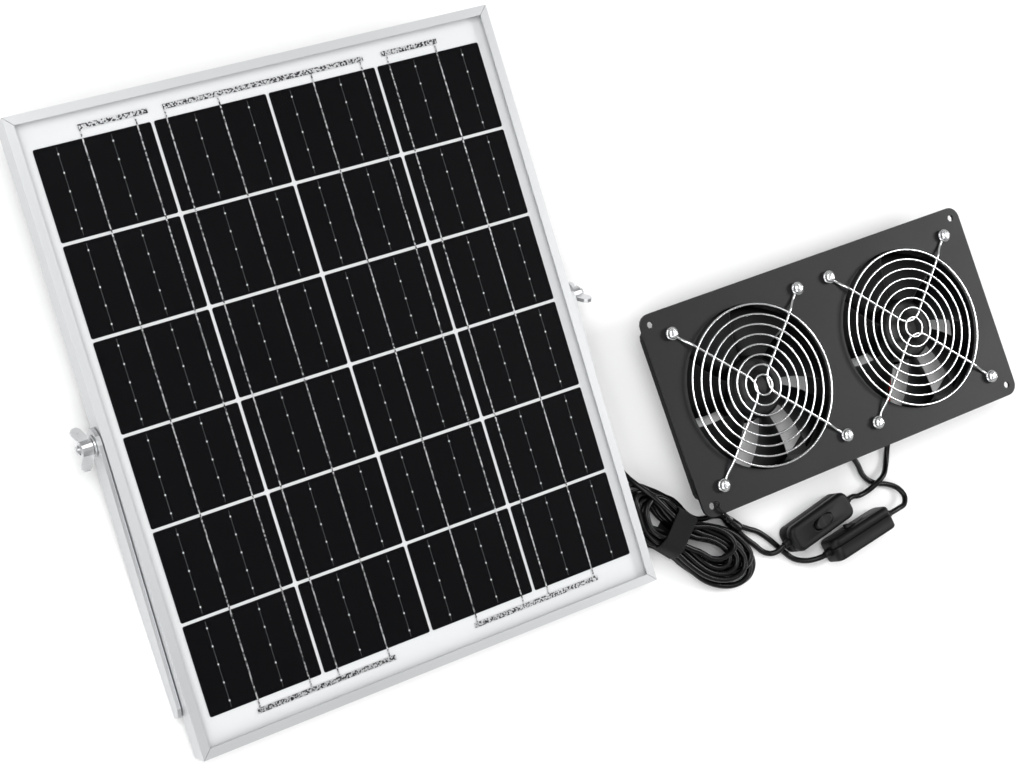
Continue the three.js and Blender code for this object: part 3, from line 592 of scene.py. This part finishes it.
def onFan(points, centre):
    # fan millimetres to the frame: moved to its place on the plate, then turned with the plate
    p = np.asarray(points, float)
    flat = around(p.reshape(-1, 3) + [centre, 0, 0], fanSet["turn"], (fanSet["x"], fanSet["y"], 0))
    return inFrame(flat).reshape(p.shape)


guardSet = {"rings": 8, "outer": 54.5, "pitch": 6.8, "ringWire": 0.7, "spokeWire": 0.9, "eyeWire": 0.95,
            "ringHeight": 32.0, "low": 28.6, "eye": 3.4, "round": 96}


def makeGuard(name, centre, turn):
    solid = gridSolid()
    angle = np.linspace(0, 2 * np.pi, guardSet["round"], endpoint=False)
    level = np.full(guardSet["round"], guardSet["ringHeight"])
    for k in range(guardSet["rings"]):
        radius = guardSet["outer"] - k * guardSet["pitch"]
        path = np.stack([radius * np.cos(angle), radius * np.sin(angle), level], 1)
        wire = tube(path, guardSet["ringWire"], 10, closed=True)
        solid.add(onFan(wire, centre), wrapRows=True, wrapColumns=True)
    # the legs rise from the screws to just under the rings, and each pair is one wire bent at the middle
    low, high = guardSet["low"], guardSet["ringHeight"] - 1.2
    reach = ((71.2, low), (66.5, low), (62.5, low + 0.8), (58.8, high - 0.2), (54, high), (36, high),
             (18, high), (11, high))

    def spoke(degrees):
        c, s = math.cos(math.radians(degrees)), math.sin(math.radians(degrees))
        return [[d * c, d * s, z] for d, z in reach]
    bend = [[5.6, 4, high], [5, 0, high], [5.6, -4, high]]
    route = smoothPath(spoke(45) + bend + spoke(-45)[::-1], 1.2)
    for half in (0, 180):
        wire = tube(around(route, half + turn), guardSet["spokeWire"], 10)
        solid.add(onFan(wire, centre), wrapColumns=True, caps=True)
    ringAngle = angle[::3]
    for sx, sy in cornerPlaces:
        eye = np.stack([guardSet["eye"] * np.cos(ringAngle) + sx * fanSet["screw"],
                        guardSet["eye"] * np.sin(ringAngle) + sy * fanSet["screw"],
                        np.full(len(ringAngle), low)], 1)
        wire = tube(eye, guardSet["eyeWire"], 10, closed=True)
        solid.add(onFan(wire, centre), wrapRows=True, wrapColumns=True)
    solid.piece(name + "_guard_wires", chrome, replaces=(name + "_guard",), slot="guard_chrome")


screwSet = {"shank": 1.8, "foot": 19, "washer": 4.4, "thick": 0.65, "head": 3.8, "bottom": 29.9, "rise": 2.4,
            "slot": 0.62, "reach": 2.3, "depth": 1.4}


def makeScrews(name, centre, seed):
    # dome of revolution with a cross pressed into it: height falls where the point lies in either slot
    solid = gridSolid()
    rng = np.random.default_rng(seed)
    for k, (sx, sy) in enumerate(cornerPlaces):
        place = np.array([sx * fanSet["screw"], sy * fanSet["screw"], 0])
        b, w, inner, foot = screwSet["bottom"], screwSet["washer"], screwSet["shank"], screwSet["foot"]
        shank = lathe([(0.01, foot), (inner, foot), (inner, b)], 24)
        top = b + screwSet["thick"]
        washer = lathe([(inner, b), (w - 0.2, b), (w, b + 0.15), (w, b + 0.5), (w - 0.2, top),
                        (inner, top)], 40)
        radius = np.linspace(0.02, 1, 30) * screwSet["head"]
        angle = np.linspace(0, 2 * np.pi, 96, endpoint=False)
        r, a = np.meshgrid(radius, angle, indexing="ij")
        turn = rng.uniform(0, np.pi)
        x, y = r * np.cos(a + turn), r * np.sin(a + turn)
        dome = top + screwSet["rise"] * np.clip(1 - (r / screwSet["head"]) ** 3, 0, 1) ** 0.5
        inSlot = np.minimum(np.abs(x), np.abs(y)) / screwSet["slot"]
        press = np.clip(1.6 - 1.6 * inSlot, 0, 1) * np.clip((screwSet["reach"] - r) / 0.5, 0, 1)
        dome = dome - screwSet["depth"] * press
        head = np.stack([r * np.cos(a), r * np.sin(a), dome], -1)
        solid.add(onFan(shank + place, centre), wrapColumns=True)
        solid.add(onFan(washer + place, centre), wrapColumns=True)
        solid.add(onFan(head + place, centre), wrapColumns=True)
    nodes = ["%s_guard_screw_%d" % (name, k + 1) for k in range(4)]
    solid.piece(name + "_screws", chrome, replaces=nodes, slot="guard_chrome")


rotorSet = {"hub": 21.0, "tip": 55.6, "blades": 7, "top": 22.6, "bottom": 7.6, "chord": 44.0, "sweep": 14.0,
            "thick": 0.75}


def makeRotor(name, centre):
    # blade: chord angle runs from leading to trailing edge while height drops, bowed up in the middle,
    # swept back towards the tip; thickness thins to nothing at its round edges
    hub = rotorSet["hub"]
    solid = gridSolid()
    cup = [(1.5, 5.4), (1.5, 21.8), (hub - 1.6, 21.8), (hub - 1.6, 6.1), (hub, 6.1), (hub, 20.6),
           (hub - 0.25, 21.8), (hub - 0.9, 22.8), (hub - 2.0, 23.4), (hub - 3.4, 23.55), (8.4, 23.55),
           (8.0, 23.35), (7.6, 23.55), (0.02, 23.6)]
    solid.add(onFan(lathe([(0.02, 5.2)] + cup, 72), centre), wrapColumns=True)
    s = np.linspace(0, 1, 15)
    loopAngle = np.linspace(0, 2 * np.pi, 44, endpoint=False)
    t = 0.5 - 0.5 * np.cos(loopAngle)
    edge = np.sin(loopAngle) * np.abs(np.sin(loopAngle)) ** -0.35
    edge = np.nan_to_num(edge) * rotorSet["thick"]
    ss, tt = np.meshgrid(s, t, indexing="ij")
    radius = hub - 0.8 + ss * (rotorSet["tip"] - hub + 0.8)
    drop = rotorSet["top"] - rotorSet["bottom"]
    run = radius * math.radians(rotorSet["chord"])
    size = np.hypot(run, drop)
    slim = edge[None, :] * (1.25 - 0.5 * ss)
    angle = np.radians(rotorSet["chord"] * tt - rotorSet["sweep"] * ss) + slim * drop / size / radius
    z = rotorSet["top"] - 0.7 - drop * tt + 1.2 * np.sin(np.pi * tt) + slim * run / size
    blade = np.stack([radius * np.cos(angle), radius * np.sin(angle), z], -1)
    for k in range(rotorSet["blades"]):
        turned = around(blade.reshape(-1, 3), 360 * k / rotorSet["blades"]).reshape(blade.shape)
        solid.add(onFan(turned, centre), wrapColumns=True, caps=True)
    solid.piece(name + "_rotor_blades", fanGloss, body=name + "_rotor", replaces=(name + "_rotor",),
                slot="fan_plastic")


wireSet = {"radius": 0.78, "aside": 0.85,
           "route": ((19.5, 1.0, 4.3), (26, 1.3, 4.5), (34, 1.0, 4.2), (42, 1.5, 4.4), (50, 1.1, 4.3),
                     (56, 1.0, 4.6))}


def makeFanWires(name, centre, angle):
    # red and black wires side by side along one strut, bowed a little between hub and duct
    for colour, side, material, slot in (("red", 1, redWire, "wire_red"),
                                         ("black", -1, jacket, "cable_jacket")):
        points = [[x, side * wireSet["aside"] * bow, z] for x, bow, z in wireSet["route"]]
        path = around(smoothPath(points, 1.0), angle)
        words = {"replaces": (name + "_fan_wires",)} if colour == "red" else {}
        wire = onFan(tube(path, wireSet["radius"], 12), centre)
        gridSolid().add(wire, wrapColumns=True, caps=True).piece(
            "%s_fan_wire_%s" % (name, colour), material, slot=slot, **words)


for index, (name, centre, wireAngle, guardTurn) in enumerate(sides):
    makeGuard(name, centre, guardTurn)
    makeScrews(name, centre, 11 + index)
    makeRotor(name, centre)
    makeFanWires(name, centre, wireAngle)
print("fans made")

switchSet = {"length": 54.0, "width": 19.0, "thickness": 16.0, "corner": 5.5, "split": 9.7, "edge": 2.6,
             "keyLength": 16.4, "keyWidth": 8.4, "play": 0.6, "keyHeight": 13.2, "keyTilt": 8.0,
             "collar": ((1.95, 0), (3.2, 0), (3.0, 1.0), (2.6, 3.2), (2.3, 4.8), (1.95, 5.0)),
             "collarSunk": 0.6, "rearTurn": 12, "rearPlace": (456.5, -7.1, 0), "frontTurn": 9,
             "frontPlace": (484.5, -25, 0)}


def switchPlaces():
    # rear lies flat and turned; front stands on its long edge with the key facing up the layout
    def rear(points):
        return inFrame(around(points, switchSet["rearTurn"], switchSet["rearPlace"]))

    def front(points):
        p = np.asarray(points, float)
        halfDeep, halfWide = switchSet["thickness"] / 2, switchSet["width"] / 2
        upright = np.stack([p[:, 0], p[:, 2] - halfDeep, halfWide - p[:, 1]], 1)
        return inFrame(around(upright, switchSet["frontTurn"], switchSet["frontPlace"]))
    return {"rear": rear, "front": front}


def makeSwitch(name, place, cordName):
    count = 96
    length, width, corner = switchSet["length"], switchSet["width"], switchSet["corner"]
    top, split, edge = switchSet["thickness"], switchSet["split"], switchSet["edge"]

    def loop(inset, z):
        flat = roundedLoop(length - 2 * inset, width - 2 * inset, max(corner - inset * 0.8, 0.8), count)
        return np.hstack([flat, np.full((count, 1), z)])
    rise = np.linspace(0, np.pi / 2, 8)
    bottomEdge = [loop(edge * 0.7 * (1 - math.sin(a)), edge * 0.7 * (1 - math.cos(a))) for a in rise]
    flatEnds = [loop(8.8, 0.0), loop(5, 0.0)]
    base = np.stack(flatEnds + bottomEdge + [loop(0, split - 0.4), loop(0.35, split), loop(1.6, split),
                                             loop(1.6, 1.6), loop(8.8, 1.6)])
    angle = np.arctan2(loop(0, 0)[:, 1] / width, loop(0, 0)[:, 0] / length)
    halfLong = switchSet["keyLength"] / 2 + switchSet["play"]
    halfWide = switchSet["keyWidth"] / 2 + switchSet["play"]
    oval = np.stack([halfLong * np.cos(angle), halfWide * np.sin(angle)], 1)

    def rim(grow, z):
        return np.hstack([oval * (1 + grow), np.full((count, 1), z)])
    topEdge = [loop(edge * (1 - math.cos(a)), top - edge * (1 - math.sin(a))) for a in rise]
    keyHole = [rim(0.16, top + 0.25), rim(0.08, top + 0.45), rim(0.0, top + 0.2), rim(0.0, top - 3.2),
               rim(0.1, top - 3.2)]
    cover = np.stack([loop(0.35, split + 0.3), loop(0, split + 0.7)] + topEdge + [loop(edge + 1.2, top)]
                     + keyHole + [loop(1.7, top - 2.6), loop(1.6, split + 0.3)])
    for part, grid in (("base", base), ("cover", cover)):
        placed = place(grid.reshape(-1, 3)).reshape(grid.shape)
        solid = gridSolid()
        solid.add(placed, wrapColumns=True, wrapRows=part == "cover", caps=part == "base")
        piece = solid.piece("%s_switch_%s_shell" % (name, part), moulded, slot="switch_plastic",
                            replaces=("%s_switch_%s" % (name, part),))
        cordPieces[cordName].append(piece)
    # key: an oval column whose top falls to a shallow valley across its middle, tipped about its own middle
    keyAngle = np.linspace(0, 2 * np.pi, 64, endpoint=False)
    rings = []
    for size, low in ((0.05, 0), (0.4, 0), (0.75, 0), (0.93, 0), (1.0, 0.35)):
        x = size * switchSet["keyLength"] / 2 * np.cos(keyAngle)
        y = size * switchSet["keyWidth"] / 2 * np.sin(keyAngle)
        z = 3.3 + 1.5 * np.abs(x) / (switchSet["keyLength"] / 2) - low
        rings.append(np.stack([x, y, z], 1))
    rings.append(np.stack([rings[-1][:, 0], rings[-1][:, 1], np.full(64, -2.4)], 1))
    rings.append(np.stack([rings[-1][:, 0] * 0.05, rings[-1][:, 1] * 0.05, np.full(64, -2.4)], 1))
    key = np.stack(rings[::-1])
    c, s = math.cos(math.radians(switchSet["keyTilt"])), math.sin(math.radians(switchSet["keyTilt"]))
    tipped = np.stack([key[..., 0] * c + key[..., 2] * s, key[..., 1],
                       key[..., 2] * c - key[..., 0] * s + switchSet["keyHeight"]], -1)
    placed = place(tipped.reshape(-1, 3)).reshape(tipped.shape)
    gridSolid().add(placed, wrapColumns=True, caps=True).piece(
        name + "_switch_key", moulded, body=name + "_rocker", slot="switch_plastic",
        replaces=(name + "_switch_rocker",))
    # tapered collars where the cord leaves each end
    collar = lathe(switchSet["collar"], 32)
    lift = switchSet["thickness"] / 2
    for end in (-1, 1):
        turned = np.stack([end * (collar[..., 2] + length / 2 - switchSet["collarSunk"]), collar[..., 0],
                           collar[..., 1] * end + lift], -1)
        placed = place(turned.reshape(-1, 3)).reshape(turned.shape)
        piece = gridSolid().add(placed, wrapColumns=True, wrapRows=True).piece(
            "%s_switch_collar_%s" % (name, "in" if end < 0 else "out"), moulded, slot="switch_plastic")
        cordPieces[cordName].append(piece)


cordPieces = {"lead_left": [], "lead_right": [], "trunk": []}
places = switchPlaces()
makeSwitch("rear", places["rear"], "lead_right")
makeSwitch("front", places["front"], "lead_left")
print("switches made")

# size is the sleeve's radius as a part of its full radius, at each part of the way along
spliceSet = {"from": (398, 8.4, 4.2), "to": (390.5, 17.9, 4.2), "radius": 4.0,
             "along": (-0.16, -0.1, 0.0, 0.06, 0.3, 0.6, 0.85, 1.0, 1.12, 1.13),
             "size": (0.75, 0.93, 0.97, 1.0, 1.0, 0.95, 0.8, 0.62, 0.54, 0.46),
             "tail": ((392, 15.6, 6.4), (388.6, 17, 13), (384, 19.2, 20), (380, 21.2, 26),
                      (375.4, 25.6, 29.4), (372.6, 29.5, 28.9), (371.6, 32, 28.8), (373.2, 33, 29.6),
                      (374.2, 31, 30.3), (372.6, 29.4, 30.8))}
tieSet = {"from": 3.0, "to": 17.5, "middle": -4.8, "halfWidth": 15.4, "top": 20.3, "thickness": 0.85,
          "corner": 6.0, "round": 160, "rows": 28, "seed": 3}


def makeSplice():
    # heat-shrink sleeve: wide where two cords enter, tapering to the one that leaves
    start, end = np.array(spliceSet["from"], float), np.array(spliceSet["to"], float)
    path = start + (end - start) * np.array(spliceSet["along"])[:, None]
    grid = tube(path, np.array(spliceSet["size"]) * spliceSet["radius"], 32)
    piece = gridSolid().add(inFrame(grid), wrapColumns=True, caps=True).piece(
        "splice_shrink", jacket, replaces=("splice_sleeve",), slot="cable_jacket")
    tail = smoothPath(spliceSet["tail"], 0.6)
    slim = 0.8 + 1.7 * (1 - easing(np.linspace(0, 1.35, len(tail))))
    loopPiece = gridSolid().add(inFrame(tube(tail, slim, 12)), wrapColumns=True, caps=True).piece(
        "splice_tie_tail", jacket, slot="cable_jacket")
    cordPieces["lead_left"].append(piece)
    cordPieces["trunk"].append(loopPiece)


def makeTie():
    # strap: a rounded box loop about the bundle, wrinkled across its width
    count, rows = tieSet["round"], tieSet["rows"]
    width, top = tieSet["halfWidth"] * 2, tieSet["top"]
    outline = roundedLoop(width, top, tieSet["corner"], count)
    angle = np.linspace(0, 2 * np.pi, count, endpoint=False)
    rng = np.random.default_rng(tieSet["seed"])
    grids = []
    across = np.linspace(0, 1, rows)
    fold = sum(rng.uniform(0.1, 0.28) * np.sin(k * angle[None, :] + rng.uniform(0, 6) + 3 * across[:, None])
               for k in (3, 5, 8))
    for inset in (0.0, tieSet["thickness"]):
        scale = 1 - inset * 2 / width
        x = tieSet["middle"] + outline[None, :, 0] * scale * (1 - 0.012 * fold)
        z = top / 2 + outline[None, :, 1] * (1 - inset * 2 / top) * (1 - 0.016 * fold)
        z = np.maximum(z, inset * 0.9)
        u = tieSet["from"] + (tieSet["to"] - tieSet["from"]) * across[:, None]
        u = u + 0.7 * np.sin(angle * 2)[None, :]
        grids.append(np.stack([np.broadcast_to(u, x.shape), x, z], -1))
    shell = np.concatenate([grids[0], grids[1][::-1]])
    placed = inFrame(hankToLayout(shell.reshape(-1, 3))).reshape(shell.shape)
    piece = gridSolid().add(placed, wrapColumns=True, wrapRows=True).piece(
        "hank_strap", tieFabric, replaces=("hank_tie",), slot="tie_fabric")
    uv = piece.data.uv_layers.new(name="strap")
    loops = np.empty(len(piece.data.loops), np.int32)
    piece.data.loops.foreach_get("vertex_index", loops)
    row, column = loops // count, loops % count
    uv.data.foreach_set("uv", np.stack([row / rows, column / count * 5], 1).ravel())
    cordPieces["trunk"].append(piece)


makeSplice()
makeTie()

print("splice and tie made")

# the parts that keep their own shape take these finishes
nodeFinish = {
    anodised: ("frame_bottom", "frame_right", "frame_top", "frame_left"),
    clearGlass: ("solar_glass",), backsheetWhite: ("backsheet",),
    boxPlastic: ("junction_box_base", "junction_box_lid", "cable_gland"),
    brass: ("terminal_block", "left_bearing", "right_bearing"),
    brushed: ("left_arm", "right_arm", "cross_bar"),
    zinc: ("left_pivot_bolt", "right_pivot_bolt", "left_washer", "right_washer", "left_wing_nut",
           "right_wing_nut"),
    powderCoat: ("mounting_plate",), fanGloss: ("left_fan_frame", "right_fan_frame"),
    winding: ("left_stator", "right_stator")}
for material, names in nodeFinish.items():
    for name in names:
        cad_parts[name].data.materials.clear()
        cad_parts[name].data.materials.append(material)

stageSet = {"floorDrop": 0.0006, "floorSize": 6.0, "sky": 0.42, "aim": (0.05, -0.05, 0),
            "lamps": (("over", (-0.9, 0.7, 2.3), 2.2, 46.0), ("front", (-1.6, -1.5, 1.6), 1.8, 26.0),
                      ("sheen", (1.75, -0.25, 1.55), 0.8, 20.0))}


def makeStage():
    size = stageSet["floorSize"]
    corners = np.array([[-1, -1, 0], [1, -1, 0], [1, 1, 0], [-1, 1, 0]]) * size
    mesh = bpy.data.meshes.new("floor")
    mesh.from_pydata((corners - [0, 0, stageSet["floorDrop"]]).tolist(), [], [(0, 1, 2, 3)])
    mesh.materials.append(finishMaterial("paleFloor", (0.95, 0.95, 0.95), 0.8, variation=0.01, bump=0.0))
    floor = bpy.data.objects.new("floor", mesh)
    bpy.context.scene.collection.objects.link(floor)
    world = bpy.data.worlds.new("studio")
    world.use_nodes = True
    world.node_tree.nodes["Background"].inputs["Color"].default_value = (1, 1, 1, 1)
    world.node_tree.nodes["Background"].inputs["Strength"].default_value = stageSet["sky"]
    bpy.context.scene.world = world
    bpy.context.scene.view_settings.view_transform = "Standard"
    for name, place, width, power in stageSet["lamps"]:
        lamp = bpy.data.lights.new(name, "AREA")
        lamp.energy = power
        lamp.size = width
        light = bpy.data.objects.new(name, lamp)
        bpy.context.scene.collection.objects.link(light)
        light.location = place
        light.rotation_euler = (Vector(stageSet["aim"]) - Vector(place)).to_track_quat("-Z", "Y").to_euler()


makeStage()
print("stage made")
